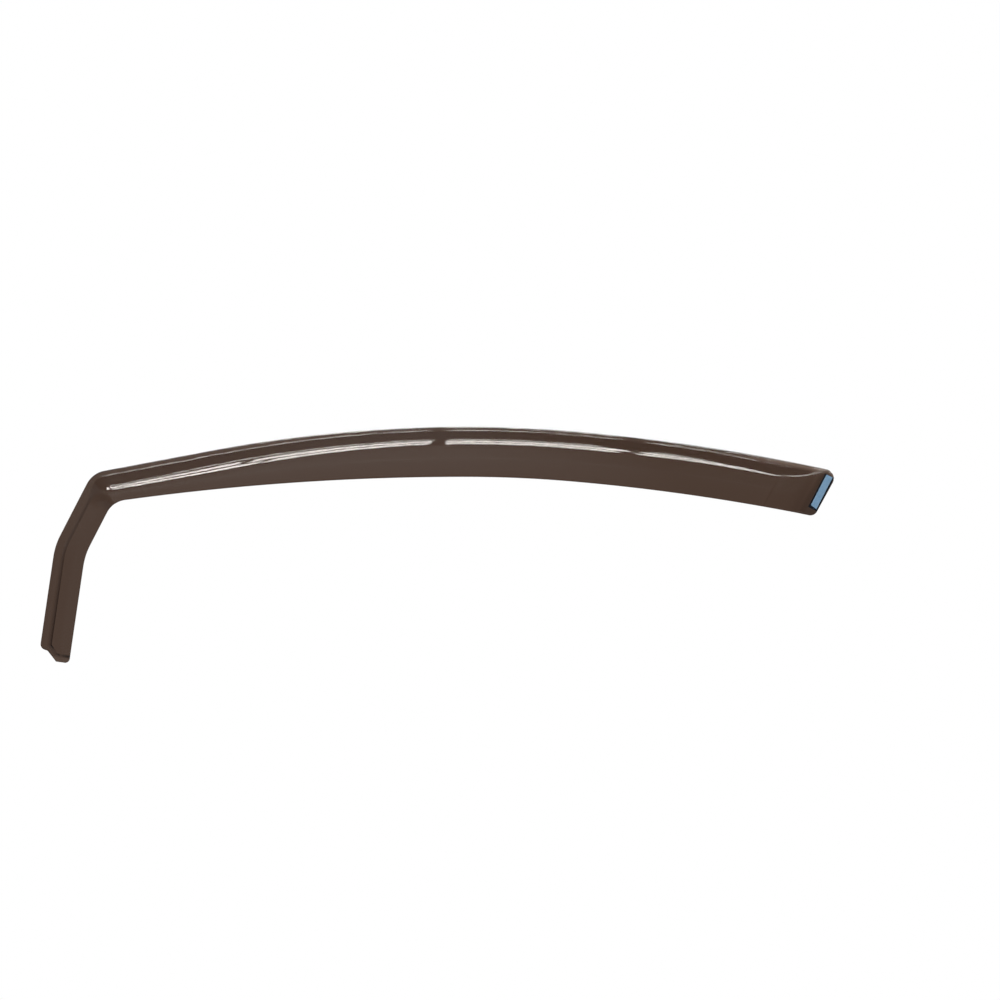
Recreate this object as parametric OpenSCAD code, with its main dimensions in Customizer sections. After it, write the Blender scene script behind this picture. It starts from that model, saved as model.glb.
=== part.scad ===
/* [Rim line] */
// Radius of the rim line from its crown towards the tail
crown_r = 1560; // [1200:10:2400]
// Width over which that radius runs
crown_run = 134; // [80:2:200]
// Radius of the rim line from there to the tail
tail_r = 2440; // [1600:20:4000]
// Radius of the rim line from its crown towards the leg
shoulder_r = 1640; // [1200:10:2400]
// Width over which that radius runs, before the line goes straight
shoulder_run = 302; // [200:2:360]
// Distance from the crown to the upper corner of the tail
tail_reach = 449; // [400:1:520]
// Distance from the crown to the corner over the leg
leg_reach = 447; // [420:1:520]

/* [Visor] */
// Height of the visor from its crown to the tail
visor_h = 60; // [50:0.1:75]
// Radius of the free edge from the crown towards the leg
free_r = 3000; // [2300:10:3600]
// Radius of the free edge along the tail
free_tail_r = 2570; // [1600:10:4000]
// Thickness of the moulded sheet
wall = 3; // [2:0.1:3.6]
// Radius of the bow that follows the door, seen from above
bow_r = 8000; // [5000:100:20000]
// Radius of the bow that follows the side glass, seen from the end
barrel_r = 1500; // [1200:50:4000]

/* [Section at the crown] */
// Width of the rim that goes into the window channel
rim_w = 4.3; // [3:0.1:8]
// Distance that the rim's outer edge leans back at the crown
rim_lean = 0.5; // [0:0.1:1.5]
// Distance from the rim line to the crest
crest_s = 17.5; // [14:0.5:22]
// Height of the crest over the rim
crest_h = 8.7; // [6:0.1:12]
// Radius of the crest
crest_r = 28; // [8:1:40]
// Outward lean of the panel below the crest, in degrees
panel_lean = 8; // [3:0.5:14]
// Outward lean of the panel at its free edge, in degrees
edge_lean = 1; // [-3:0.5:5]

/* [Section at the shoulder] */
// Distance from the crown to the end of the change of section
shoulder_x = 370; // [300:5:400]
// Width of the rim at the shoulder
shoulder_rim_w = 6; // [4:0.1:9]
// Distance from the rim line to the crest at the shoulder
shoulder_crest_s = 23.2; // [19:0.2:26]
// Height of the crest over the rim at the shoulder
shoulder_crest_h = 10.5; // [7:0.1:13]
// Radius of the crest at the shoulder
shoulder_crest_r = 42; // [12:1:60]

/* [Section of the leg] */
// Width of the leg
leg_w = 37.7; // [34:0.1:46]
// Width of the leg's rim
leg_rim_w = 9.8; // [8.4:0.2:12]
// Width of the step from the rim to the leg's body
leg_step_w = 3; // [2.4:0.1:4]
// Height of the leg's body over its rim below the corner
leg_h = 2.6; // [2:0.1:4]
// Height of the leg's body over its rim at the foot
foot_h = 3.6; // [2.6:0.1:4.4]
// Radius of the leg's crest
leg_crest_r = 4.2; // [3.8:0.1:6]
// Lean of the leg's body on either side of its middle, in degrees
leg_lean = 2.5; // [1:0.5:5]

/* [Leg] */
// Lean of the upper leg from upright, in degrees
upper_lean = 27.3; // [20:0.1:34]
// Lean of the lower leg from upright, in degrees
lower_lean = 8.5; // [3:0.1:14]
// Length of the upper leg, from the corner to the kink
upper_l = 98; // [80:1:130]
// Length of the lower leg, from the kink to the end of its rim
lower_l = 126; // [90:1:170]
// Radius of the corner over the leg, on both edges
corner_r = 30; // [22:1:40]
// Radius of the kink in the leg, on both edges
kink_r = 80; // [50:2:110]

/* [Foot] */
// Distance from the end of the leg's rim to the end of the foot
foot_l = 12; // [9:0.5:16]
// Width of the plain end of the rim, before the foot's slant
foot_rim_w = 9.5; // [8:0.5:11]
// Width of the foot's slant
foot_slant_w = 15; // [10:0.2:16]
// Radius of the outer corner of the rim's end
foot_rim_r = 7; // [3:0.5:8]
// Radius of the foot's inner corner
foot_r = 6; // [3:0.5:7]
// Width of the step along the foot's slant
foot_step_w = 3.8; // [3:0.1:4]
// Length of the end wall that closes the foot
foot_wall_l = 9.2; // [7:0.2:10]

/* [Tail] */
// Lean of the tail's end from upright, in degrees
tail_lean = 28.7; // [20:0.1:34]
// Radius of the tail's upper corner
tail_top_r = 11.5; // [8:0.5:15]
// Radius of the tail's lower corner
tail_low_r = 9; // [5:0.5:14]
// Width of the flat tab that carries the tape
tab_w = 13.4; // [12:0.2:18]
// Length over which the panel falls to the tab
tab_fall_l = 25; // [16:1:40]
// Distance from the crown to where the rim starts to roll back
roll_x = 215; // [120:5:300]
// Distance from the crown to where the rim starts to widen
wide_x = 290; // [200:5:340]
// Width of the rim at the tail
tail_rim_w = 7; // [5:0.2:10]
// Distance that the rim's outer edge rolls back at the tail
tail_roll = 4.8; // [2:0.1:7]
// Distance from the rim line to the crest at the tail
tail_crest_s = 20; // [17:0.5:23]
// Height of the crest over the rim at the tail
tail_crest_h = 7.6; // [5:0.1:10]
// Radius of the crest at the tail
tail_crest_r = 12; // [6:1:28]
// Slope at which the crest runs out to the rim along the tail's end
crest_rise = 0.39; // [0.34:0.01:0.5]

/* [Tape] */
// Length of the foam strip
foam_l = 45; // [40:0.2:47]
// Width of the foam strip
foam_w = 12; // [8:0.2:12.4]
// Thickness of the foam strip
foam_t = 1.1; // [0.8:0.1:2]
// Distance from the end of the tail to the middle of the foam strip
foam_in = 6.7; // [6.4:0.1:7.2]
// Distance from the tail's upper corner to the middle of the foam strip
foam_down = 32; // [31:0.1:34]
// Lean of the tape from upright, in degrees
tape_lean = 27.2; // [24:0.1:30]
// Bare width of foam on either side of the liner
liner_side = 2; // [0.4:0.1:3]
// Bare length of foam above the liner
liner_top = 0.4; // [0:0.1:2]
// Bare length of foam below the liner
liner_low = 2; // [0:0.1:4]
// Slant of the liner's lower end, in degrees
liner_cut = 10; // [0:1:20]
// Thickness of the release liner
liner_t = 0.2; // [0.1:0.05:0.4]

/* [Hidden] */

// Stations along each stretch of the shell, and points round each bend
tail_steps = 15;
arc_steps = 34;
corner_steps = 14;
leg_steps = 17;
foot_steps = 14;
path_steps = 24;
roll_steps = 4;
step_steps = 4;
crest_steps = 8;
panel_steps = 3;

// Length of the tail whose sections lie along its slanted end
tail_l = tab_w + tab_fall_l + 22;
// Smallest width that is left of the rim where the foot's slant cuts it
rim_min = 2.2;
// Smallest distance from the rim line to the crest, across the tab
crest_min = 6;
// Share of the corner that keeps the visor's section
corner_late = 0.45;
// Share of the fall to the tab over which it rounds off
fall_round = 0.12;

function clamp(t) = max(0, min(1, t));
function ease(t) = let (c = clamp(t)) c * c * (3 - 2 * c);
function lerp(a, b, t) = a + (b - a) * t;
function unit(v) = v / norm(v);
function turned(v) = [-v.y, v.x];

// Points on a circle from one angle to another, both measured from its top
function arc(c, r, from, to, n = path_steps) =
    [for (i = [0:n]) let (a = lerp(from, to, i / n)) c + r * [sin(a), cos(a)]];

// Round corner at v between the unit directions a and b that leave it
function fillet(v, a, b, r, n = path_steps) =
    let (
        open = acos(a * b),
        turn = 180 - open,
        c = v + unit(a + b) * r / sin(open / 2),
        from = v + a * r / tan(open / 2) - c,
        to = v + b * r / tan(open / 2) - c
    )
    [for (i = [0:n]) c + (from * sin(turn * (1 - i / n)) + to * sin(turn * i / n)) / sin(turn)];

// Point where a line along e enters a circle, with side -1, or leaves it, with side 1
function meets(p, e, c, r, side) =
    let (m = p - c, b = m * e) p + e * (side * sqrt(b * b - m * m + r * r) - b);
// Point where two lines cross
function crossing(p, a, q, b) =
    p + a * ((q - p) * turned(b)) / (a * turned(b));

// Running length along a path
function running(path) =
    [for (i = 0, s = 0; i < len(path); s = s + norm(path[min(i + 1, len(path) - 1)] - path[i]), i = i + 1) s];
// Point of a path where its measure has the value s
function at(path, measure, s) = [
    lookup(s, [for (i = [0:len(path) - 1]) [measure[i], path[i].x]]),
    lookup(s, [for (i = [0:len(path) - 1]) [measure[i], path[i].y]])
];
// Points at equal shares of a path's length
function shares(path, n) =
    let (run = running(path), whole = run[len(run) - 1]) [for (i = [0:n]) at(path, run, whole * i / n)];

// Outline, drawn in the plane of the window with its crown at the middle.
// The rim line is three arcs and a straight, and the free edge follows it.
crown_a = asin(crown_run / crown_r);
crown_c = [0, -crown_r];
tail_c = crown_c + (crown_r - tail_r) * [sin(crown_a), cos(crown_a)];
tail_a = asin((tail_reach - tail_c.x) / tail_r);
shoulder_a = asin(shoulder_run / shoulder_r);
shoulder_c = [0, -shoulder_r];
shoulder_p = shoulder_c + shoulder_r * [-sin(shoulder_a), cos(shoulder_a)];
shoulder_e = [-cos(shoulder_a), -sin(shoulder_a)];
free_c = [0, -visor_h - free_r];
free_tail_c = crown_c + (crown_r - visor_h - free_tail_r) * [sin(crown_a), cos(crown_a)];

upper_e = [-sin(upper_lean), -cos(upper_lean)];
lower_e = [-sin(lower_lean), -cos(lower_lean)];
upper_n = turned(upper_e);
lower_n = turned(lower_e);
corner_out = shoulder_p + shoulder_e * (leg_reach - shoulder_run) / cos(shoulder_a);
kink_out = corner_out + upper_e * upper_l;
corner_in = meets(corner_out + upper_n * leg_w, -upper_e, free_c, free_r, 1);
kink_in = crossing(corner_in, upper_e, kink_out + lower_n * leg_w, lower_e);
corner_in_a = asin(corner_in.x / free_r);
corner_in_e = [cos(corner_in_a), -sin(corner_in_a)];

tail_top = tail_c + tail_r * [sin(tail_a), cos(tail_a)];
tail_e = [-sin(tail_lean), -cos(tail_lean)];
tail_n = [-cos(tail_lean), sin(tail_lean)];
tail_top_e = [-cos(tail_a), sin(tail_a)];
tail_low = meets(tail_top, tail_e, free_tail_c, free_tail_r, -1);
tail_low_a = asin((tail_low.x - free_tail_c.x) / free_tail_r);
tail_low_e = [-cos(tail_low_a), sin(tail_low_a)];

// Edges of the arc, from the end of the tail to the corner over the leg
tail_top_turn = fillet(tail_top, tail_e, tail_top_e, tail_top_r);
tail_low_turn = fillet(tail_low, -tail_e, tail_low_e, tail_low_r);
rim_start_a = asin((tail_top_turn[path_steps].x - tail_c.x) / tail_r);
free_start_a = asin((tail_low_turn[path_steps].x - free_tail_c.x) / free_tail_r);
corner_out_turn = fillet(corner_out, -shoulder_e, upper_e, corner_r);
corner_in_turn = fillet(corner_in, corner_in_e, upper_e, corner_r);
// The sections turn between these ends of the inner corner's round
bend_in = corner_in_turn[0];
bend_out = corner_out + shoulder_e * ((bend_in - corner_out) * shoulder_e);
leg_in = corner_in_turn[path_steps];
leg_out = corner_out + upper_e * ((leg_in - corner_out) * upper_e);
free_end_a = asin(bend_in.x / free_r);

rim_arc = concat(
    tail_top_turn,
    arc(tail_c, tail_r, rim_start_a - 0.2, crown_a),
    arc(crown_c, crown_r, crown_a * 0.96, 0),
    arc(shoulder_c, shoulder_r, -shoulder_a * 0.04, -shoulder_a),
    [bend_out]
);
free_arc = concat(
    tail_low_turn,
    arc(free_tail_c, free_tail_r, free_start_a - 0.2, crown_a),
    arc(crown_c, crown_r - visor_h, crown_a * 0.96, 0),
    arc(free_c, free_r, free_end_a * 0.04, free_end_a)
);

// Edges of the corner and of the leg
rim_corner = concat([bend_out], corner_out_turn, [leg_out]);
kink_out_turn = fillet(kink_out, -upper_e, lower_e, kink_r);
kink_in_turn = fillet(kink_in, -upper_e, lower_e, kink_r);
foot_start = lower_l - foot_rim_r - 3;
function on_leg(s, down) = kink_out + lower_n * s + lower_e * down;
rim_leg = concat([leg_out], kink_out_turn, [on_leg(0, foot_start)]);
free_leg = concat([leg_in], kink_in_turn, [on_leg(leg_w, foot_start)]);

// Foot, as widths across the leg at distances down it from the kink
foot_end = lower_l + foot_l;
foot_slant = lower_l + 0.6;
foot_bend = foot_end - foot_wall_l;
foot_rim_side = concat(
    [[0, foot_start]],
    fillet([0, lower_l], [0, -1], [1, 0], foot_rim_r),
    [[foot_rim_w, foot_slant], [foot_rim_w + foot_slant_w, foot_end]]
);
foot_free_side = concat(
    [[leg_w, foot_start]],
    fillet([leg_w, foot_end], [0, -1], [-1, 0], foot_r)
);
function across(side, down) = lookup(down, [for (p = side) [p.y, p.x]]);

// Distance of a point from the tail's end, and the share of its height that the sheet has there
function from_tail(p) = (p - tail_top) * tail_n;
function risen(p) =
    let (
        t = clamp((from_tail(p) - tab_w) / tab_fall_l),
        r = fall_round,
        climb = (sqrt(t * t + r * r) - r) / (sqrt(1 + r * r) - r)
    )
    1 - pow(1 - climb, 3);

// Sections, each as rim width, rim lean, place and height of the crest,
// its radius, and the leans of the panel above and below its middle
crown_section = [rim_w, rim_lean, crest_s, crest_h, crest_r, panel_lean, edge_lean];
tail_section = [tail_rim_w, tail_roll, tail_crest_s, tail_crest_h, tail_crest_r, panel_lean, edge_lean];
shoulder_section =
    [shoulder_rim_w, rim_lean, shoulder_crest_s, shoulder_crest_h, shoulder_crest_r, panel_lean, edge_lean];
leg_section = [leg_rim_w, 0.2, leg_rim_w + leg_step_w, leg_h, leg_crest_r, leg_lean, -leg_lean];
// The first value of a section, its rim width, can be set apart from the rest
function with_rim(w, s) = [for (i = [0:len(s) - 1]) i == 0 ? w : s[i]];
function tail_share(x, from) = ease((x - from) / (tail_reach - tail_l - from));
function arc_section(x) = x > 0
    ? with_rim(lerp(rim_w, tail_rim_w, tail_share(x, wide_x)), lerp(crown_section, tail_section, tail_share(x, roll_x)))
    : lerp(crown_section, shoulder_section, ease(-x / shoulder_x));
function foot_section(down) =
    let (
        cut = across(foot_rim_side, down),
        left = max(rim_min, leg_rim_w - cut),
        fall = clamp((foot_end - down) / foot_wall_l),
        step_w = lerp(leg_step_w, foot_step_w, ease((down - lower_l) / 4))
    )
    [left, 0.2, left + step_w, foot_h * fall, leg_crest_r, leg_lean * fall, -leg_lean * fall];
// Towards the tail's end the crest runs out to the rim, and the rim's roll fades
function end_section(section, p) =
    let (
        near = max(crest_min, crest_rise * from_tail(p)),
        crest = pow(pow(section[2], -6) + pow(near, -6), -1 / 6),
        rim = min(section[0], crest - 1.5),
        roll = section[1] * ease(from_tail(p) / tab_w) * pow(rim / section[0], 2),
        rise = section[3] * (crest - rim) / (section[2] - section[0])
    )
    [rim, roll, crest, rise, section[4], section[5], section[6]];

// Stations, each as a point of the rim line, a point of the free edge and a section
rim_from_tail = [for (p = rim_arc) from_tail(p)];
free_from_tail = [for (p = free_arc) from_tail(p)];
tail_stations = [
    for (i = [0:tail_steps - 1])
    let (
        d = tail_l * (i / tail_steps) * lerp(0.7, 1, i / tail_steps),
        out = at(rim_arc, rim_from_tail, d)
    )
    [out, at(free_arc, free_from_tail, d), end_section(arc_section(out.x), out)]
];
rim_whole = running(rim_arc);
free_whole = running(free_arc);
function reach_of(path, measure, whole) = lookup(tail_l, [for (i = [0:len(path) - 1]) [measure[i], whole[i]]]);
rim_at_tail = reach_of(rim_arc, rim_from_tail, rim_whole);
free_at_tail = reach_of(free_arc, free_from_tail, free_whole);
arc_stations = [
    for (i = [0:arc_steps - 1])
    let (
        t = i / arc_steps,
        out = at(rim_arc, rim_whole, lerp(rim_at_tail, rim_whole[len(rim_whole) - 1], t)),
        in = at(free_arc, free_whole, lerp(free_at_tail, free_whole[len(free_whole) - 1], t))
    )
    [out, in, arc_section(out.x)]
];
corner_rim = shares(rim_corner, corner_steps);
corner_free = shares(corner_in_turn, corner_steps);
corner_stations = [
    for (i = [0:corner_steps - 1])
    let (change = ease((i / corner_steps - corner_late) / (1 - corner_late)))
    [corner_rim[i], corner_free[i], lerp(arc_section(bend_out.x), leg_section, change)]
];
leg_rim = shares(rim_leg, leg_steps);
leg_free = shares(free_leg, leg_steps);
low_section = [leg_rim_w, 0.2, leg_rim_w + leg_step_w, foot_h, leg_crest_r, leg_lean, -leg_lean];
leg_stations = [
    for (i = [0:leg_steps - 1])
    [leg_rim[i], leg_free[i], lerp(leg_section, low_section, ease(i / leg_steps))]
];
foot_stations = [
    for (i = [0:foot_steps])
    let (down = lerp(foot_start, foot_end, i / foot_steps))
    [
        on_leg(across(foot_rim_side, down), down),
        on_leg(across(foot_free_side, down), down),
        foot_section(down)
    ]
];
stations = concat(tail_stations, arc_stations, corner_stations, leg_stations, foot_stations);

// Round bend of a section at v, between its neighbours a and b
function bend(a, v, b, r, n, share = 0.44) =
    let (
        ea = unit(a - v),
        eb = unit(b - v),
        turn = 180 - acos(max(-1, min(1, ea * eb))),
        most = share * min(norm(a - v), norm(b - v)),
        reach = max(0.3 * most, min(most, r * tan(turn / 2)))
    )
    [for (i = [0:n]) let (t = i / n) v + (1 - t) * (1 - t) * reach * ea + t * t * reach * eb];

// Section as points of distance from the rim line and height over the rim
function section_points(w, s) =
    let (
        half = (w - s[2]) / 2,
        edge = [0, -s[1]],
        roll = [s[0] * 0.38, 0],
        step = [s[0], 0],
        crest = [s[2], s[3]],
        middle = crest + half * [1, tan(s[5])],
        free = middle + half * [1, tan(s[6])]
    )
    concat(
        [edge],
        bend(edge, roll, step, 60, roll_steps, 0.55),
        bend(roll, step, crest, 3, step_steps, 0.28),
        bend(step, crest, middle, s[4], crest_steps, 0.7),
        bend(crest, middle, free, 300, panel_steps, 0.25),
        [free]
    );

// Depth of the rim, bowed both ways round the tab's middle
tab_p = tail_top + tail_e * foam_down + tail_n * foam_in;
barrel_y = -(visor_h + upper_l + lower_l) / 2;
function bowed(p) =
    (tab_p.x * tab_p.x - p.x * p.x) / (2 * bow_r)
    + ((tab_p.y - barrel_y) * (tab_p.y - barrel_y) - (p.y - barrel_y) * (p.y - barrel_y)) / (2 * barrel_r);

// Outer face as rows of points. The tape's outer face is the zero of every direction.
tape_t = foam_t + liner_t;
function outer_row(station) =
    let (
        out = station[0],
        way = station[1] - station[0],
        w = norm(way)
    )
    [
        for (q = section_points(w, station[2]))
        let (
            p = out + way * (q.x / w),
            keep = risen(p),
            height = q.y < 0 ? q.y + bowed(p) * keep : (bowed(p) + q.y) * keep
        )
        [p.x - tab_p.x, tape_t - height, p.y - tab_p.y]
    ];
outer = [for (s = stations) outer_row(s)];
rows = len(outer);
columns = len(outer[0]);

// Inner face, one wall behind the outer one along its normals
function normal_at(i, j) =
    let (
        along = outer[min(i + 1, rows - 1)][j] - outer[max(i - 1, 0)][j],
        over = outer[i][min(j + 1, columns - 1)] - outer[i][max(j - 1, 0)]
    )
    unit(cross(along, over));
inner = [for (i = [0:rows - 1]) [for (j = [0:columns - 1]) outer[i][j] - wall * normal_at(i, j)]];

// Closed sheet from the two faces and the strips along its four edges
function grid_faces(first, flip) = [
    for (i = [0:rows - 2])
    for (j = [0:columns - 2])
    let (
        a = first + i * columns + j,
        b = a + 1,
        c = a + columns + 1,
        d = a + columns
    )
    for (f = flip ? [[a, b, c], [a, c, d]] : [[a, c, b], [a, d, c]]) f
];
function strip_faces(edge, shift) = [
    for (k = [0:len(edge) - 2])
    for (f = [
        [edge[k], edge[k + 1] + shift, edge[k + 1]],
        [edge[k], edge[k] + shift, edge[k + 1] + shift]
    ])
    f
];
module sheet() {
    count = rows * columns;
    first_row = [for (j = [0:columns - 1]) j];
    free_side = [for (i = [0:rows - 1]) i * columns + columns - 1];
    last_row = [for (j = [columns - 1:-1:0]) (rows - 1) * columns + j];
    rim_side = [for (i = [rows - 1:-1:0]) i * columns];
    polyhedron(
        points = concat([for (r = outer) each r], [for (r = inner) each r]),
        faces = concat(
            grid_faces(0, true),
            grid_faces(count, false),
            strip_faces(first_row, count),
            strip_faces(free_side, count),
            strip_faces(last_row, count),
            strip_faces(rim_side, count)
        )
    );
}

// Visor, rim, leg and foot, formed from one sheet
module deflector_shell() {
    color("#50443c") sheet();
}

// Plane of the tape, with its length upright, seen from the outer side
module on_tab() {
    rotate([0, tape_lean, 0]) rotate([90, 0, 0]) children();
}

// Foam strip that holds the tail to the door's frame
module tape_foam() {
    color("#1d2430")
        translate([0, tape_t, 0])
        on_tab()
        linear_extrude(foam_t)
        square([foam_w, foam_l], center = true);
}

// Film over the strip's adhesive, peeled off before fitting
module release_liner() {
    liner_w = foam_w - 2 * liner_side;
    top = foam_l / 2 - liner_top;
    low = -foam_l / 2 + liner_low;
    color("#7fa8cc")
        translate([0, liner_t, 0])
        on_tab()
        linear_extrude(liner_t)
        polygon([
            [-liner_w / 2, top],
            [liner_w / 2, top],
            [liner_w / 2, low],
            [-liner_w / 2, low + liner_w * tan(liner_cut)]
        ]);
}

deflector_shell();
tape_foam();
release_liner();
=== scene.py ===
from math import acos, asin, cos, pi, radians, sin, sqrt, tan

import bpy
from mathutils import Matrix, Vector


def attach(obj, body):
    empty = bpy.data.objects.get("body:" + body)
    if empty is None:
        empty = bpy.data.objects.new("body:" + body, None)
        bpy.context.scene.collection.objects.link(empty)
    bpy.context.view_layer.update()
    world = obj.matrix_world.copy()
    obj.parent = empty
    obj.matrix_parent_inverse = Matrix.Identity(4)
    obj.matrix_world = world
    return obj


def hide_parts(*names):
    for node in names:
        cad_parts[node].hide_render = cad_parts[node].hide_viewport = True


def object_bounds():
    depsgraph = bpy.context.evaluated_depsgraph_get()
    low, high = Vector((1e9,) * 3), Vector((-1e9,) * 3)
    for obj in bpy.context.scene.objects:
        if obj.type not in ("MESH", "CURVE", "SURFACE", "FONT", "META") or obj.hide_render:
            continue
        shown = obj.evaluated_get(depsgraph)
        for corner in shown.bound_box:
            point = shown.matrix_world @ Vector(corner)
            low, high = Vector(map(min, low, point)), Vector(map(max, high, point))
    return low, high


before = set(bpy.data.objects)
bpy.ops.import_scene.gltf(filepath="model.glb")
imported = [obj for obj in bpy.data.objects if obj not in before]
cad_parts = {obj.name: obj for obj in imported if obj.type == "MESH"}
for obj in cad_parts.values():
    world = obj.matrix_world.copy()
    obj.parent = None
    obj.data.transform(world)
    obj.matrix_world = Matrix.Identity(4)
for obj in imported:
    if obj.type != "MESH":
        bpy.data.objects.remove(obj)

cad_low, cad_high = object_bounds()
scene = bpy.context.scene

# Deflector shell: one sheet of smoke-brown acrylic, heated and drawn over a mould.
# Its rim goes into the window channel, a step leads out to the visor over the glass,
# and round the corner the same step runs down a kinked leg to a closed foot.

# The sheet's sizes are in millimetres, and the scene's in metres.
MM = 0.001

# Outline, from the crown of the rim line, which lies at the middle. The rim runs over
# the arcs of the tail, the crown and the shoulder, and the free edge over arcs of its own.
CROWN_R = 1560
CROWN_RUN = 134
TAIL_R = 2440
TAIL_REACH = 449
SHOULDER_R = 1640
SHOULDER_RUN = 302
VISOR_H = 60.0
FREE_R = 3000
FREE_TAIL_R = 2570
# An arc starts a little past the end of the one before it, so that no point comes twice:
# by an angle after the tail's round corners, and by a share of the arc elsewhere.
PAST_CORNER_A = 0.003
PAST_ARC = 0.04

# Leg: its width, and the lengths and leans of its two straight runs
LEG_REACH = 447
LEG_W = 37.7
UPPER_L = 98
UPPER_LEAN = radians(27.3)
LOWER_L = 126
LOWER_LEAN = radians(8.5)
CORNER_R = 30
KINK_R = 80

# Foot: its rim ends in a round corner, then comes a slanted edge and a blunt end
FOOT_L = 12
FOOT_RUN_IN = 3
FOOT_RIM_W = 9.5
FOOT_RIM_R = 7
FOOT_SLANT_IN = 0.6
FOOT_SLANT_W = 12
FOOT_R = 6
FOOT_H = 3.6

# Tail: its slanted end, the flat tab along it, the fall of the sheet to that tab, and the run
# before the fall, where the section is the tail's already
TAIL_LEAN = radians(28.7)
TAIL_TOP_R = 11.5
TAIL_LOW_R = 9
TAB_W = 13.4
TAB_FALL_L = 25
FALL_ROUND = 0.12
TAIL_RUN_L = 22
TAIL_L = TAB_W + TAB_FALL_L + TAIL_RUN_L
FOAM_IN = 6.7
FOAM_DOWN = 32
FOAM_T = 1.1
LINER_T = 0.2

# Wall, its bow along the window and across it, and its round edges in small steps inwards
WALL = 3.0
BOW_R = 8000
BARREL_R = 1500
EDGE_R = 0.6
EDGE_STEPS = (0, 0.02, 0.08, 0.2, 0.38, EDGE_R)
EDGE_LAST = len(EDGE_STEPS) - 1

# Sections across the sheet: rim width, rim lean, crest place, crest height, crest radius,
# and the outward slopes of the panel above and below its middle
VISOR_SLOPES = (tan(radians(8)), tan(radians(1)))
LEG_SLOPES = (tan(radians(2.5)), -tan(radians(2.5)))
CROWN_SECTION = (4.3, 0.5, 17.5, 8.7, 28) + VISOR_SLOPES
TAIL_SECTION = (7, 3.2, 20, 7.6, 12) + VISOR_SLOPES
SHOULDER_SECTION = (6, 0.5, 23.2, 10.5, 42) + VISOR_SLOPES
LEG_SECTION = (9.8, 0.2, 12.8, 2.6, 4.2) + LEG_SLOPES

# How far from the crown the section starts to roll and to widen, how far it takes to reach
# the shoulder's, and how late round the corner it turns into the leg's
ROLL_X = 215
WIDE_X = 290
SHOULDER_X = 370
CORNER_LATE = 0.45


def clamp(t):
    return max(0.0, min(1.0, t))


def ease(t):
    c = clamp(t)
    return c * c * (3 - 2 * c)


def between(a, b, t):
    return tuple(p + (q - p) * t for p, q in zip(a, b))


def turned(v):
    return Vector((-v.y, v.x))


def arc(centre, r, start, end, steps=40):
    """Points of an arc between two angles from upright."""
    angles = [start + (end - start) * i / steps for i in range(steps + 1)]
    return [centre + r * Vector((sin(a), cos(a))) for a in angles]


def fillet(v, a, b, r, steps=40):
    """Round corner at v between the unit directions a and b that leave it."""
    opening = acos(a.dot(b))
    turn = pi - opening
    centre = v + (a + b).normalized() * r / sin(opening / 2)
    start = v + a * r / tan(opening / 2) - centre
    end = v + b * r / tan(opening / 2) - centre
    shares = [i / steps for i in range(steps + 1)]
    return [centre + (start * sin(turn * (1 - t)) + end * sin(turn * t)) / sin(turn) for t in shares]


def meets(p, e, centre, r, side):
    """Where a line along e enters a circle, with side -1, or leaves it, with side 1."""
    m = p - centre
    b = m.dot(e)
    return p + e * (side * sqrt(b * b - m.dot(m) + r * r) - b)


def running(path):
    """Length of a path from its start up to each of its points."""
    lengths = [0.0]
    for a, b in zip(path, path[1:]):
        lengths.append(lengths[-1] + (b - a).length)
    return lengths


def at(path, measure, s):
    """Point of a path where its rising measure has the value s."""
    if s <= measure[0]:
        return path[0].copy()
    for i in range(1, len(path)):
        if s <= measure[i]:
            step = measure[i] - measure[i - 1]
            return path[i - 1].lerp(path[i], (s - measure[i - 1]) / step if step else 0)
    return path[-1].copy()


# Centres (c), angles (a), directions (e) and normals (n) of the outline's arcs and straight runs
crown_a = asin(CROWN_RUN / CROWN_R)
crown_c = Vector((0, -CROWN_R))
tail_c = crown_c + (CROWN_R - TAIL_R) * Vector((sin(crown_a), cos(crown_a)))
tail_a = asin((TAIL_REACH - tail_c.x) / TAIL_R)
shoulder_a = asin(SHOULDER_RUN / SHOULDER_R)
shoulder_c = Vector((0, -SHOULDER_R))
shoulder_p = shoulder_c + SHOULDER_R * Vector((-sin(shoulder_a), cos(shoulder_a)))
shoulder_e = Vector((-cos(shoulder_a), -sin(shoulder_a)))
free_c = Vector((0, -VISOR_H - FREE_R))
free_tail_c = crown_c + (CROWN_R - VISOR_H - FREE_TAIL_R) * Vector((sin(crown_a), cos(crown_a)))
upper_e = Vector((-sin(UPPER_LEAN), -cos(UPPER_LEAN)))
lower_e = Vector((-sin(LOWER_LEAN), -cos(LOWER_LEAN)))
upper_n = turned(upper_e)
lower_n = turned(lower_e)
corner_out = shoulder_p + shoulder_e * (LEG_REACH - SHOULDER_RUN) / cos(shoulder_a)
kink_out = corner_out + upper_e * UPPER_L
corner_in = meets(corner_out + upper_n * LEG_W, -upper_e, free_c, FREE_R, 1)
inner_line = kink_out + lower_n * LEG_W
kink_in = corner_in + upper_e * ((inner_line - corner_in).dot(lower_n) / upper_e.dot(lower_n))
corner_in_a = asin(corner_in.x / FREE_R)
corner_in_e = Vector((cos(corner_in_a), -sin(corner_in_a)))
tail_top = tail_c + TAIL_R * Vector((sin(tail_a), cos(tail_a)))
tail_e = Vector((-sin(TAIL_LEAN), -cos(TAIL_LEAN)))
tail_n = Vector((-cos(TAIL_LEAN), sin(TAIL_LEAN)))
tail_low = meets(tail_top, tail_e, free_tail_c, FREE_TAIL_R, -1)
tail_low_a = asin((tail_low.x - free_tail_c.x) / FREE_TAIL_R)

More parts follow.
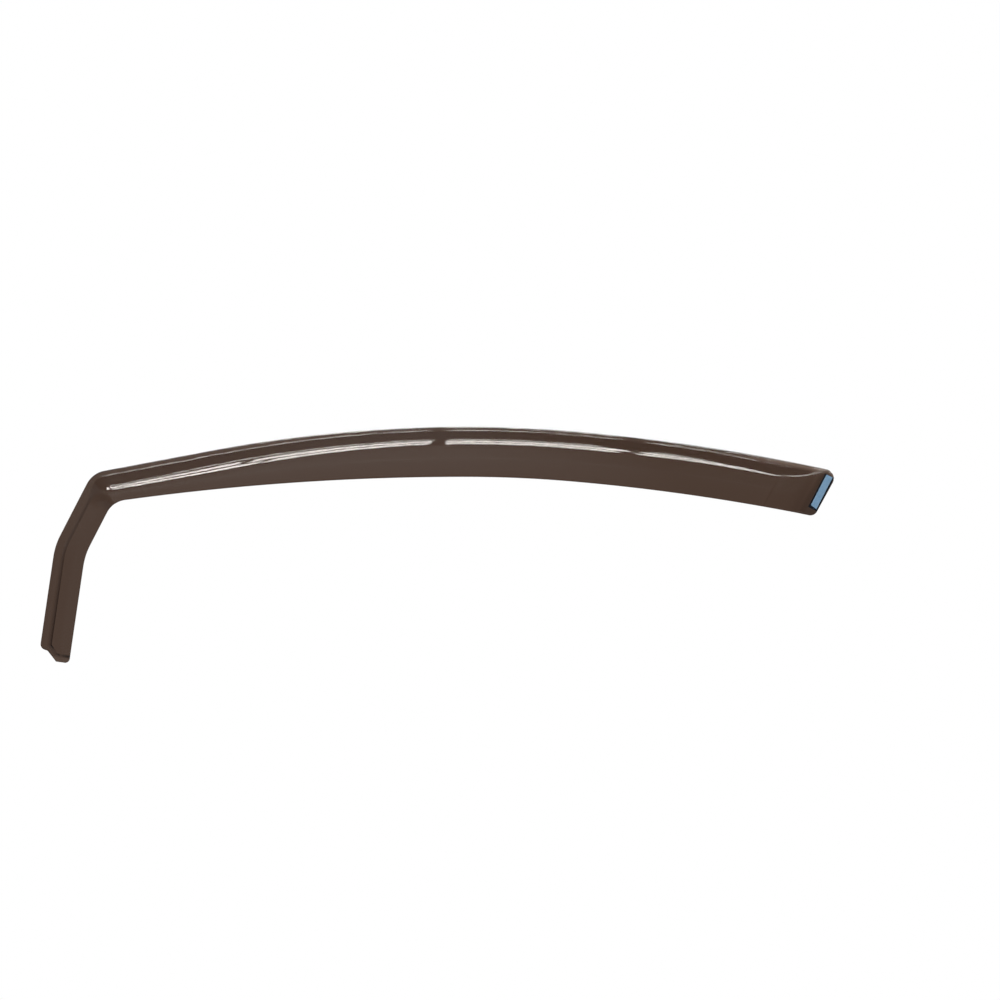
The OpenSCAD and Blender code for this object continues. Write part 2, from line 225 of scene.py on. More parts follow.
tail_top_turn = fillet(tail_top, tail_e, Vector((-cos(tail_a), sin(tail_a))), TAIL_TOP_R)
tail_low_turn = fillet(tail_low, -tail_e, Vector((-cos(tail_low_a), sin(tail_low_a))), TAIL_LOW_R)
rim_start_a = asin((tail_top_turn[-1].x - tail_c.x) / TAIL_R)
free_start_a = asin((tail_low_turn[-1].x - free_tail_c.x) / FREE_TAIL_R)
corner_out_turn = fillet(corner_out, -shoulder_e, upper_e, CORNER_R)
corner_in_turn = fillet(corner_in, corner_in_e, upper_e, CORNER_R)
bend_in = corner_in_turn[0]
bend_out = corner_out + shoulder_e * (bend_in - corner_out).dot(shoulder_e)
leg_in = corner_in_turn[-1]
leg_out = corner_out + upper_e * (leg_in - corner_out).dot(upper_e)
free_end_a = asin(bend_in.x / FREE_R)
rim_arc = (
    tail_top_turn
    + arc(tail_c, TAIL_R, rim_start_a - PAST_CORNER_A, crown_a)
    + arc(crown_c, CROWN_R, crown_a * (1 - PAST_ARC), 0)
    + arc(shoulder_c, SHOULDER_R, -shoulder_a * PAST_ARC, -shoulder_a)
    + [bend_out]
)
free_arc = (
    tail_low_turn
    + arc(free_tail_c, FREE_TAIL_R, free_start_a - PAST_CORNER_A, crown_a)
    + arc(crown_c, CROWN_R - VISOR_H, crown_a * (1 - PAST_ARC), 0)
    + arc(free_c, FREE_R, free_end_a * PAST_ARC, free_end_a)
)


def on_leg(s, down):
    """Point of the lower run, from its rim inwards and from the kink down."""
    return kink_out + lower_n * s + lower_e * down


foot_start = LOWER_L - FOOT_RIM_R - FOOT_RUN_IN
foot_end = LOWER_L + FOOT_L
rim_corner = [bend_out] + corner_out_turn + [leg_out]
rim_leg = [leg_out] + fillet(kink_out, -upper_e, lower_e, KINK_R) + [on_leg(0, foot_start)]
free_leg = [leg_in] + fillet(kink_in, -upper_e, lower_e, KINK_R) + [on_leg(LEG_W, foot_start)]
foot_rim_side = (
    [Vector((0, foot_start))]
    + fillet(Vector((0, LOWER_L)), Vector((0, -1)), Vector((1, 0)), FOOT_RIM_R)
    + [Vector((FOOT_RIM_W, LOWER_L + FOOT_SLANT_IN)), Vector((FOOT_RIM_W + FOOT_SLANT_W, foot_end))]
)
foot_free_side = (
    [Vector((LEG_W, foot_start))]
    + fillet(Vector((LEG_W, foot_end)), Vector((0, -1)), Vector((-1, 0)), FOOT_R)
)


def across(side, down):
    """How far in from the rim's line a side of the foot lies at a length down the leg."""
    return at(side, [p.y for p in side], down).x


def from_tail(p):
    return (p - tail_top).dot(tail_n)


def arc_section(x):
    """Section of the visor, which rolls and widens towards the tail and deepens towards the shoulder."""
    if x > 0:
        full_x = TAIL_REACH - TAIL_L
        section = between(CROWN_SECTION, TAIL_SECTION, ease((x - ROLL_X) / (full_x - ROLL_X)))
        wide = ease((x - WIDE_X) / (full_x - WIDE_X))
        return (CROWN_SECTION[0] + (TAIL_SECTION[0] - CROWN_SECTION[0]) * wide,) + section[1:]
    return between(CROWN_SECTION, SHOULDER_SECTION, ease(-x / SHOULDER_X))


# Towards the tail's end the crest runs out to the rim, and the rim's lean fades.
CREST_RISE = 0.39
CREST_MIN = 6
CREST_ROUND = 6
RISER_MIN = 1.5


def end_section(section, p):
    full_rim_w, full_lean, full_crest_s, full_crest_h = section[:4]
    d = from_tail(p)
    near = max(CREST_MIN, CREST_RISE * d)
    crest_s = (full_crest_s ** -CREST_ROUND + near ** -CREST_ROUND) ** (-1 / CREST_ROUND)
    rim_w = min(full_rim_w, crest_s - RISER_MIN)
    crest_h = full_crest_h * (crest_s - rim_w) / (full_crest_s - full_rim_w)
    lean = full_lean * ease(d / TAB_W) * (rim_w / full_rim_w) ** 2
    return (rim_w, lean, crest_s, crest_h) + section[4:]


# The foot is closed by an end wall, with a bend at its top and a flatter ledge at its end.
FOOT_WALL_L = 9.2
END_BEND_X = 2.4
END_BEND_R = 3.6
END_RISER_H = 2.4


def end_drop(x):
    """How far the end wall has dropped at x past its bend: round over it, steep, then flatter."""
    if x < 0:
        return 0
    if x < END_BEND_X:
        return x * x / (2 * END_BEND_R)
    steep = END_BEND_X / END_BEND_R
    drop = END_BEND_X * steep / 2 + (x - END_BEND_X) * steep
    ledge_x = END_BEND_X + (END_RISER_H - END_BEND_X * steep / 2) / steep
    ledge = END_RISER_H + (FOOT_H - END_RISER_H) * (x - ledge_x) / (FOOT_WALL_L - ledge_x)
    return min(drop, ledge)


# The foot's step starts on the leg's line, turns along the slanted edge with a ledge outside it,
# and widens on the way. It takes no more than a share of the foot's width.
FOOT_LINE_X = 9.0
FOOT_LEDGE_W = 4.0
FOOT_LINE_ROUND = 5
FOOT_LINE_MOST = 0.45
FOOT_RISER_W = 3.5
FOOT_STEP_W = 6.0
FOOT_STEP_MOST = 0.3
FOOT_WIDEN_L = 7
FOOT_CREST_R = 9.0


def foot_section(down):
    _, lean, _, _, crest_r, upper, lower = LEG_SECTION
    at_edge = across(foot_rim_side, down)
    w = across(foot_free_side, down) - at_edge
    slant_x = FOOT_RIM_W + (down - LOWER_L - FOOT_SLANT_IN) * FOOT_SLANT_W / (FOOT_L - FOOT_SLANT_IN)
    ledge_x = max(0, slant_x + FOOT_LEDGE_W)
    line_x = (FOOT_LINE_X ** FOOT_LINE_ROUND + ledge_x ** FOOT_LINE_ROUND) ** (1 / FOOT_LINE_ROUND)
    left = min(line_x - at_edge, FOOT_LINE_MOST * w)
    slant = ease((down - LOWER_L + FOOT_WIDEN_L) / FOOT_WIDEN_L)
    step_w = min(FOOT_RISER_W + (FOOT_STEP_W - FOOT_RISER_W) * slant, FOOT_STEP_MOST * w)
    crest_r += (FOOT_CREST_R - crest_r) * slant
    up = 1 - end_drop(FOOT_WALL_L - (foot_end - down)) / FOOT_H
    return (left, lean, left + step_w, FOOT_H * up, crest_r, upper * up, lower * up)


# Both edges are measured along their length over the visor, and from the tail's end beside it.
rim_from_tail = [from_tail(p) for p in rim_arc]
free_from_tail = [from_tail(p) for p in free_arc]
rim_run = running(rim_arc)
free_run = running(free_arc)


def length_at_tail(measure, run):
    pairs = [Vector((a, b)) for a, b in zip(run, measure)]
    return at(pairs, measure, TAIL_L).x


rim_at_tail = length_at_tail(rim_from_tail, rim_run)
free_at_tail = length_at_tail(free_from_tail, free_run)

# Stations from the tail to the foot, each a point of the rim, a point of the free edge and a section
TAIL_STEPS = 60
ARC_STEPS = 190
CORNER_STEPS = 60
LEG_STEPS = 60
FOOT_STEPS = 44
stations = []
for i in range(TAIL_STEPS):
    past_edge = max(0, (i - EDGE_LAST) / (TAIL_STEPS - EDGE_LAST))
    d = EDGE_STEPS[min(i, EDGE_LAST)] + (TAIL_L - EDGE_R) * past_edge
    out = at(rim_arc, rim_from_tail, d)
    stations.append((out, at(free_arc, free_from_tail, d), end_section(arc_section(out.x), out)))
for i in range(ARC_STEPS):
    t = i / ARC_STEPS
    out = at(rim_arc, rim_run, rim_at_tail + (rim_run[-1] - rim_at_tail) * t)
    free = at(free_arc, free_run, free_at_tail + (free_run[-1] - free_at_tail) * t)
    stations.append((out, free, arc_section(out.x)))
corner_rim_run = running(rim_corner)
corner_free_run = running(corner_in_turn)
for i in range(CORNER_STEPS):
    t = i / CORNER_STEPS
    out = at(rim_corner, corner_rim_run, corner_rim_run[-1] * t)
    free = at(corner_in_turn, corner_free_run, corner_free_run[-1] * t)
    change = ease((t - CORNER_LATE) / (1 - CORNER_LATE))
    stations.append((out, free, between(arc_section(bend_out.x), LEG_SECTION, change)))
low_section = (FOOT_LINE_X, LEG_SECTION[1], FOOT_LINE_X + FOOT_RISER_W, FOOT_H) + LEG_SECTION[4:]
leg_rim_run = running(rim_leg)
leg_free_run = running(free_leg)
for i in range(LEG_STEPS):
    t = i / LEG_STEPS
    out = at(rim_leg, leg_rim_run, leg_rim_run[-1] * t)
    free = at(free_leg, leg_free_run, leg_free_run[-1] * t)
    stations.append((out, free, between(LEG_SECTION, low_section, ease(t))))
for i in range(FOOT_STEPS + 1):
    down = foot_start + (foot_end - EDGE_R - foot_start) * i / (FOOT_STEPS - EDGE_LAST)
    if i >= FOOT_STEPS - EDGE_LAST:
        down = foot_end - EDGE_STEPS[FOOT_STEPS - i]
    pair = (on_leg(across(foot_rim_side, down), down), on_leg(across(foot_free_side, down), down))
    stations.append(pair + (foot_section(down),))


# Bends across the sheet: the rim's roll, the hollow at the foot of the step, the crest and the
# middle of the panel. Each has a radius, takes no more than a share of the shorter stretch
# beside it and no less than a part of that share, and is drawn in steps.
ROLL_R = 60
ROLL_SHARE = 0.55
ROLL_STEPS = 12
HOLLOW_R = 3.0
HOLLOW_SHARE = 0.28
HOLLOW_STEPS = 10
CREST_SHARE = 0.7
CREST_STEPS = 24
PANEL_R = 300
PANEL_SHARE = 0.25
PANEL_STEPS = 8
LEAST_PART = 0.3
STRETCH_STEPS = (2, 3, 4, 4, 5)
# The roll lies at a share of the rim's width, which falls with each millimetre of lean, and
# the rounded edge keeps to a share of the room before it.
ROLL_PLACE = 0.38
ROLL_PULL = 0.06
EDGE_ROOM = 0.9


def bend(a, v, b, r, share, steps):
    """Bend at v of the line from a to b, as a parabola of about the radius r."""
    ea = (a - v).normalized()
    eb = (b - v).normalized()
    turn = pi - acos(max(-1, min(1, ea.dot(eb))))
    most = share * min((a - v).length, (b - v).length)
    reach = max(LEAST_PART * most, min(most, r * tan(turn / 2)))
    shares = [i / steps for i in range(steps + 1)]
    return [v + ea * ((1 - t) ** 2 * reach) + eb * (t ** 2 * reach) for t in shares]


def stretch(a, b, steps):
    """Points between a and b, without the two."""
    return [a.lerp(b, i / steps) for i in range(1, steps)]


def section_points(w, section):
    """Points across the sheet, from the rim's edge to the free edge: place and height over the rim."""
    rim_w, lean, crest_s, crest_h, crest_r, upper, lower = section
    half = (w - crest_s) / 2
    edge = Vector((0, -lean))
    roll = Vector((rim_w * (ROLL_PLACE - ROLL_PULL * lean), 0))
    foot = Vector((rim_w, 0))
    crest = Vector((crest_s, crest_h))
    middle = crest + half * Vector((1, upper))
    free = middle + half * Vector((1, lower))
    bends = [
        bend(edge, roll, foot, ROLL_R, ROLL_SHARE, ROLL_STEPS),
        bend(roll, foot, crest, HOLLOW_R, HOLLOW_SHARE, HOLLOW_STEPS),
        bend(foot, crest, middle, crest_r, CREST_SHARE, CREST_STEPS),
        bend(crest, middle, free, PANEL_R, PANEL_SHARE, PANEL_STEPS),
    ]
    share = min(1, EDGE_ROOM * (bends[0][0] - edge).length / EDGE_R)
    points = [edge + (bends[0][0] - edge).normalized() * t * share for t in EDGE_STEPS]
    for bent, steps in zip(bends, STRETCH_STEPS):
        points += stretch(points[-1], bent[0], steps) + bent
    last = [free + (middle - free).normalized() * t for t in EDGE_STEPS[::-1]]
    return points + stretch(points[-1], last[0], STRETCH_STEPS[-1]) + last


# The wall is drawn thinner along the rolled edge of the tail and on the ledge of the foot, and
# shade is painted into the sheet's colour: painted shade in the crease of the bend above the foot's
# end wall, and painted shade beside the tape. The places at the foot are measured back from its end.
EDGE_THIN = 0.5
EDGE_THIN_W = 7.0
LEDGE_THIN = 0.9
LEDGE_AT = 6.2
END_PAINTED_SHADE = 1.6
END_PAINTED_SHADE_L = 2.2
END_PAINTED_SHADE_AT = 8.0
TAB_PAINTED_SHADE = 0.4
TAB_PAINTED_SHADE_L = 6.0

# The sections are laid flat as rows of guide points: place across the window, and height over the rim.
# Each point also carries its distance from the nearest edge, for as far as the edge is rounded,
# the share of the full wall, and how much painted shade darkens the sheet at the foot.
points = []
edge_steps = []
thinned = []
painted_shade = []
for i, (out, free, section) in enumerate(stations):
    way = free - out
    w = way.length
    row = section_points(w, section)
    past_end = ((out + free) / 2 - kink_out).dot(lower_e) - foot_end
    on_ledge = clamp(past_end + LEDGE_AT)
    # Painted shade in the crease of the bend above the foot's end wall
    bend_painted_shade = clamp(END_PAINTED_SHADE * (1 - clamp(abs(past_end + END_PAINTED_SHADE_AT) / END_PAINTED_SHADE_L)))
    rolled = ease((out.x - WIDE_X) / (TAIL_REACH - TAIL_L - WIDE_X))
    for j, q in enumerate(row):
        p = out + way * (q.x / w)
        points.append((p.x, p.y, q.y))
        edge_thin = 1 - (1 - EDGE_THIN) * rolled * (1 - clamp(q.x / EDGE_THIN_W))
        thinned.append(edge_thin * (1 - (1 - LEDGE_THIN) * on_ledge))
        painted_shade.append(bend_painted_shade * ease((q.x - FOOT_RIM_W) / FOOT_SLANT_W))
        nearest = min(i, len(stations) - 1 - i, j, len(row) - 1 - j)
        edge_steps.append(EDGE_STEPS[min(nearest, EDGE_LAST)])
guide_mesh = bpy.data.meshes.new("sheet_guide")
guide_mesh.from_pydata(points, [], [])
guide_mesh.attributes.new("near", "FLOAT", "POINT").data.foreach_set("value", edge_steps)
guide_mesh.attributes.new("thin", "FLOAT", "POINT").data.foreach_set("value", thinned)
guide_mesh.attributes.new("dim", "FLOAT", "POINT").data.foreach_set("value", painted_shade)
guide = bpy.data.objects.new("sheet_guide", guide_mesh)
scene.collection.objects.link(guide)

# The sheet is drawn over those rows, bowed both ways to follow the door and the glass,
# let down to the tab at its tail, and given its wall and its rounded edges.
sheet = bpy.data.node_groups.new("Drawn sheet", "GeometryNodeTree")
sheet.interface.new_socket("Geometry", in_out="INPUT", socket_type="NodeSocketGeometry")
sheet.interface.new_socket("Geometry", in_out="OUTPUT", socket_type="NodeSocketGeometry")
given = sheet.nodes.new("NodeGroupInput")
values = {}


def take(name, kind, value):
    """Named input of the sheet's nodes, with the value it is given here."""
    socket = sheet.interface.new_socket(name, in_out="INPUT", socket_type="NodeSocket" + kind)
    values[socket.identifier] = value
    return given.outputs[name]


def wire(node, name, value):
    """Input of a node from another node's output, or as a plain value."""
    if isinstance(value, bpy.types.NodeSocket):
        sheet.links.new(value, node.inputs[name])
    else:
        node.inputs[name].default_value = value


def calc(operation, *terms):
    node = sheet.nodes.new("ShaderNodeMath")
    node.operation = operation
    for k, term in enumerate(terms):
        wire(node, k, term)
    return node.outputs[0]


def squared(value):
    return calc("MULTIPLY", value, value)


def clamped(value):
    node = sheet.nodes.new("ShaderNodeClamp")
    wire(node, "Value", value)
    return node.outputs[0]


def calc_vector(operation, a, b, output="Vector"):
    node = sheet.nodes.new("ShaderNodeVectorMath")
    node.operation = operation
    wire(node, 0, a)
    wire(node, "Scale" if operation == "SCALE" else 1, b)
    return node.outputs[output]


def split(vector):
    node = sheet.nodes.new("ShaderNodeSeparateXYZ")
    wire(node, 0, vector)
    return node.outputs


def step(kind, output, **sockets):
    node = sheet.nodes.new("GeometryNode" + kind)
    for name, value in sockets.items():
        wire(node, name.replace("_", " "), value)
    return node.outputs[output]


def of_guide(kind, field):
    """Value of a field at the guide's point of the same number."""
    node = sheet.nodes.new("GeometryNodeSampleIndex")
    node.data_type = kind
    wire(node, "Geometry", given.outputs["Geometry"])
    wire(node, "Value", field)
    wire(node, "Index", sheet.nodes.new("GeometryNodeInputIndex").outputs[0])
    return node.outputs[0]


def attribute(name, kind):
    node = sheet.nodes.new("GeometryNodeInputNamedAttribute")
    node.data_type = kind
    wire(node, "Name", name)
    return node.outputs[0]


def store(geometry, name, kind, value):
    node = sheet.nodes.new("GeometryNodeStoreNamedAttribute")
    node.data_type = kind
    node.domain = "POINT"
    wire(node, "Geometry", geometry)
    wire(node, "Name", name)
    wire(node, "Value", value)
    return node.outputs[0]


tab_p = tail_top + tail_e * FOAM_DOWN + tail_n * FOAM_IN
barrel_y = -(VISOR_H + UPPER_L + LOWER_L) / 2
wall = take("Wall", "Float", WALL)
edge_r = take("Edge radius", "Float", EDGE_R)
tab_mid = take("Tab middle", "Vector", (tab_p.x, tab_p.y, 0))
tail_corner = take("Tail corner", "Vector", (tail_top.x, tail_top.y, 0))
tail_way = take("Tail direction", "Vector", (tail_n.x, tail_n.y, 0))
tab_w = take("Tab width", "Float", TAB_W)
fall_l = take("Fall length", "Float", TAB_FALL_L)
fall_round = take("Fall rounding", "Float", FALL_ROUND)
bow_r = take("Bow radius", "Float", BOW_R)
barrel_r = take("Barrel radius", "Float", BARREL_R)
barrel_mid = take("Barrel middle", "Float", barrel_y)
tape_t = take("Tape thickness", "Float", FOAM_T + LINER_T)
# Strength and length of the painted shade beside the tape
tab_painted_shade = take("Tab dimming", "Float", TAB_PAINTED_SHADE)
tab_painted_shade_l = take("Tab dimming length", "Float", TAB_PAINTED_SHADE_L)
merging = take("Merging distance", "Float", 0.0005 * MM)

# Place of each point: the bow and its own height over the rim, both let down on the flat tab
flat = of_guide("FLOAT_VECTOR", sheet.nodes.new("GeometryNodeInputPosition").outputs[0])
x, y, rise = split(flat)
tab_x, tab_y, _ = split(tab_mid)
from_end = calc_vector("DOT_PRODUCT", calc_vector("SUBTRACT", flat, tail_corner), tail_way, "Value")
share = clamped(calc("DIVIDE", calc("SUBTRACT", from_end, tab_w), fall_l))
round_2 = squared(fall_round)
climb = calc("SUBTRACT", calc("SQRT", calc("ADD", squared(share), round_2)), fall_round)
climb_all = calc("SUBTRACT", calc("SQRT", calc("ADD", 1, round_2)), fall_round)
kept = calc("SUBTRACT", 1, calc("POWER", calc("SUBTRACT", 1, calc("DIVIDE", climb, climb_all)), 3))
bow = calc("DIVIDE", calc("SUBTRACT", squared(tab_x), squared(x)), calc("MULTIPLY", 2, bow_r))
tab_up = squared(calc("SUBTRACT", tab_y, barrel_mid))
up = squared(calc("SUBTRACT", y, barrel_mid))
barrel = calc("DIVIDE", calc("SUBTRACT", tab_up, up), calc("MULTIPLY", 2, barrel_r))
bowed = calc("MULTIPLY", calc("ADD", bow, barrel), kept)
own = calc("MULTIPLY", rise, calc("MAXIMUM", kept, calc("LESS_THAN", rise, 0)))
depth = calc("SUBTRACT", tape_t, calc("ADD", bowed, own))
place = sheet.nodes.new("ShaderNodeCombineXYZ")
wire(place, 0, calc("SUBTRACT", x, tab_x))
wire(place, 1, depth)
wire(place, 2, calc("SUBTRACT", y, tab_y))
place = calc_vector("SCALE", place.outputs[0], MM)

# Outer face of the sheet, with what each of its points carries
net = sheet.nodes.new("GeometryNodeMeshGrid")
wire(net, "Vertices X", take("Rows", "Int", len(stations)))
wire(net, "Vertices Y", take("Columns", "Int", len(points) // len(stations)))
face = step("SetPosition", 0, Geometry=net.outputs[0], Position=place)
face = store(face, "near", "FLOAT", of_guide("FLOAT", attribute("near", "FLOAT")))
face = store(face, "thin", "FLOAT", of_guide("FLOAT", attribute("thin", "FLOAT")))
# Painted shade beside the tape, kept with the painted shade at the foot in the dim attribute
near_tab = clamped(calc("DIVIDE", calc("SUBTRACT", calc("ADD", tab_w, tab_painted_shade_l), from_end), tab_painted_shade_l))
foot_painted_shade = of_guide("FLOAT", attribute("dim", "FLOAT"))
face = store(face, "dim", "FLOAT", calc("MAXIMUM", calc("MULTIPLY", near_tab, tab_painted_shade), foot_painted_shade))
face = store(face, "outward", "FLOAT_VECTOR", sheet.nodes.new("GeometryNodeInputNormal").outputs[0])

# Both faces and the edge between them: the outer face drops along its normals where its edge
# is rounded, and the inner face lies a wall behind it
short = calc("SUBTRACT", edge_r, attribute("near", "FLOAT"))
drop = calc("SUBTRACT", edge_r, calc("SQRT", calc("SUBTRACT", squared(edge_r), squared(short))))
inward = calc("SUBTRACT", drop, calc("MULTIPLY", wall, attribute("thin", "FLOAT")))
outward = attribute("outward", "FLOAT_VECTOR")
raised = sheet.nodes.new("GeometryNodeExtrudeMesh")
raised.mode = "FACES"
wire(raised, "Mesh", face)
wire(raised, "Offset Scale", 0)
wire(raised, "Individual", False)
side = sheet.nodes.new("GeometryNodeSwitch")
side.input_type = "FLOAT"
wire(side, "Switch", raised.outputs["Top"])
wire(side, "False", calc("MULTIPLY", inward, MM))
wire(side, "True", calc("MULTIPLY", drop, -MM))
front_way = calc_vector("SCALE", outward, side.outputs[0])
front = step("SetPosition", 0, Geometry=raised.outputs["Mesh"], Offset=front_way)
back_way = calc_vector("SCALE", outward, calc("MULTIPLY", inward, MM))
back = step("SetPosition", 0, Geometry=step("FlipFaces", 0, Mesh=face), Offset=back_way)
joined = sheet.nodes.new("GeometryNodeJoinGeometry")
sheet.links.new(front, joined.inputs[0])
sheet.links.new(back, joined.inputs[0])
whole = step("MergeByDistance", 0, Geometry=joined.outputs[0], Distance=merging)
whole = step("SetShadeSmooth", 0, Geometry=whole)
for name in ("near", "thin", "outward"):
    whole = step("RemoveAttribute", 0, Geometry=whole, Name=name)
whole = step("RealizeInstances", 0, Geometry=whole)

# Smoke acrylic: clear plastic with its brown all through it, so light loses strength on its way.
# The hot-drawn sheet is slightly clouded, in its clearness and in its gloss.
smoke = bpy.data.materials.new("smoke_acrylic")
smoke.use_nodes = True
nodes, links = smoke.node_tree.nodes, smoke.node_tree.links
nodes.clear()
surface = nodes.new("ShaderNodeBsdfPrincipled")
surface.inputs["IOR"].default_value = 1.49
surface.inputs["Transmission Weight"].default_value = 1.0
coords = nodes.new("ShaderNodeTexCoord")
cloud = nodes.new("ShaderNodeTexNoise")
cloud.inputs["Scale"].default_value = 9.0
cloud.inputs["Detail"].default_value = 3.0
links.new(coords.outputs["Object"], cloud.inputs["Vector"])
clear = nodes.new("ShaderNodeMapRange")
clear.data_type = "FLOAT_VECTOR"
# A vector Map Range takes its value at socket 6 and gives from socket 9 to socket 10.
clear.inputs[9].default_value = (0.96, 0.95, 0.94)
clear.inputs[10].default_value = (1.0, 1.0, 1.0)
links.new(cloud.outputs["Fac"], clear.inputs[6])
# The base colour is darkened by the painted shade of the dim attribute: in the bend above the foot's end
# wall and beside the tape
painted_shade_part = nodes.new("ShaderNodeAttribute")
painted_shade_part.attribute_name = "dim"
painted_darkening = nodes.new("ShaderNodeMapRange")
painted_darkening.inputs["To Min"].default_value = 1.0
painted_darkening.inputs["To Max"].default_value = 0.25
links.new(painted_shade_part.outputs["Fac"], painted_darkening.inputs["Value"])
shaded = nodes.new("ShaderNodeVectorMath")
shaded.operation = "SCALE"
links.new(clear.outputs["Vector"], shaded.inputs[0])
links.new(painted_darkening.outputs["Result"], shaded.inputs["Scale"])
links.new(shaded.outputs["Vector"], surface.inputs["Base Color"])
gloss = nodes.new("ShaderNodeMapRange")
gloss.inputs["To Min"].default_value = 0.01
gloss.inputs["To Max"].default_value = 0.04
links.new(cloud.outputs["Fac"], gloss.inputs["Value"])
links.new(gloss.outputs["Result"], surface.inputs["Roughness"])
tint = nodes.new("ShaderNodeVolumeAbsorption")
tint.inputs["Color"].default_value = (0.518, 0.428, 0.367, 1)
tint.inputs["Density"].default_value = 1800
end = nodes.new("ShaderNodeOutputMaterial")
links.new(surface.outputs["BSDF"], end.inputs["Surface"])
links.new(tint.outputs["Volume"], end.inputs["Volume"])

whole = step("SetMaterial", 0, Geometry=whole, Material=take("Material", "Material", smoke))
result = sheet.nodes.new("NodeGroupOutput")
sheet.links.new(whole, result.inputs[0])
drawn = guide.modifiers.new("Drawn sheet", "NODES")
drawn.node_group = sheet
for identifier, value in values.items():
    drawn[identifier] = value
shaped = guide.evaluated_get(bpy.context.evaluated_depsgraph_get())
shell = bpy.data.objects.new("smoke_shell", bpy.data.meshes.new_from_object(shaped))
scene.collection.objects.link(shell)
bpy.data.objects.remove(guide)
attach(shell, "root")
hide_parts("deflector_shell")

# Foam strip: closed-cell foam tape with adhesive on both faces, blue-black and matt.
# It is die-cut and pressed onto the tab, and later holds the tail to the door's frame.

foam = bpy.data.materials.new("blue_black_foam")
foam.use_nodes = True
nodes, links = foam.node_tree.nodes, foam.node_tree.links
nodes.clear()
surface = nodes.new("ShaderNodeBsdfPrincipled")
surface.inputs["Roughness"].default_value = 0.9
surface.inputs["Specular IOR Level"].default_value = 0.15
coords = nodes.new("ShaderNodeTexCoord")
cells = nodes.new("ShaderNodeTexVoronoi")
cells.inputs["Scale"].default_value = 2600.0
links.new(coords.outputs["Object"], cells.inputs["Vector"])
shade = nodes.new("ShaderNodeValToRGB")
shade.color_ramp.elements[0].color = (0.002, 0.005, 0.01, 1)
shade.color_ramp.elements[1].color = (0.006, 0.012, 0.022, 1)
links.new(cells.outputs["Distance"], shade.inputs["Fac"])
links.new(shade.outputs["Color"], surface.inputs["Base Color"])
pores = nodes.new("ShaderNodeBump")
pores.inputs["Strength"].default_value = 0.4
pores.inputs["Distance"].default_value = 0.0002
links.new(cells.outputs["Distance"], pores.inputs["Height"])
links.new(pores.outputs["Normal"], surface.inputs["Normal"])
end = nodes.new("ShaderNodeOutputMaterial")
links.new(surface.outputs["BSDF"], end.inputs["Surface"])
foam_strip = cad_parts["tape_foam"]
foam_strip.data.materials.clear()
foam_strip.data.materials.append(foam)

# Release liner: thin light blue polythene film with a faint mottle from its embossing.
# It covers the strip's adhesive, a little narrower than the foam, and is peeled off before fitting.

TAPE_LEAN = radians(27.2)
LINER_W = 8.0
PALE_W = 1.0
film = bpy.data.materials.new("liner_film")
film.use_nodes = True
nodes, links = film.node_tree.nodes, film.node_tree.links
nodes.clear()
surface = nodes.new("ShaderNodeBsdfPrincipled")
surface.inputs["Roughness"].default_value = 0.42
coords = nodes.new("ShaderNodeTexCoord")
straight = nodes.new("ShaderNodeMapping")
straight.inputs["Rotation"].default_value = (0, -TAPE_LEAN, 0)
links.new(coords.outputs["Object"], straight.inputs["Vector"])
mottle = nodes.new("ShaderNodeTexNoise")
mottle.inputs["Scale"].default_value = 420.0
mottle.inputs["Detail"].default_value = 4.0
links.new(straight.outputs["Vector"], mottle.inputs["Vector"])
shade = nodes.new("ShaderNodeValToRGB")
shade.color_ramp.elements[0].position = 0.3
shade.color_ramp.elements[0].color = (0.16, 0.33, 0.55, 1)
shade.color_ramp.elements[1].position = 0.7
shade.color_ramp.elements[1].color = (0.25, 0.44, 0.64, 1)
links.new(mottle.outputs["Fac"], shade.inputs["Fac"])
# The film is paler along its two long edges.
parts = nodes.new("ShaderNodeSeparateXYZ")
links.new(straight.outputs["Vector"], parts.inputs[0])
aside = nodes.new("ShaderNodeMath")
aside.operation = "ABSOLUTE"
links.new(parts.outputs["X"], aside.inputs[0])
edge = nodes.new("ShaderNodeMapRange")
edge.inputs["From Min"].default_value = MM * (LINER_W / 2 - PALE_W)
edge.inputs["From Max"].default_value = MM * LINER_W / 2
edge.inputs["To Max"].default_value = 0.35
links.new(aside.outputs[0], edge.inputs["Value"])
pale = nodes.new("ShaderNodeMix")
pale.data_type = "RGBA"
# A colour Mix has its share at socket 0 and its two colours at sockets 6 and 7.
pale.inputs[7].default_value = (0.45, 0.62, 0.78, 1)
links.new(edge.outputs["Result"], pale.inputs[0])
links.new(shade.outputs["Color"], pale.inputs[6])
links.new(pale.outputs[2], surface.inputs["Base Color"])
emboss = nodes.new("ShaderNodeBump")
emboss.inputs["Strength"].default_value = 0.25
emboss.inputs["Distance"].default_value = 0.00005
links.new(mottle.outputs["Fac"], emboss.inputs["Height"])
links.new(emboss.outputs["Normal"], surface.inputs["Normal"])
end = nodes.new("ShaderNodeOutputMaterial")
links.new(surface.outputs["BSDF"], end.inputs["Surface"])
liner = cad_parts["release_liner"]
liner.data.materials.clear()
liner.data.materials.append(film)

# Studio: a camera straight in front, far off with a long lens, and a plain white surround.
# Rows of softboxes stand above the camera, with dark gaps between them, and light the crest.

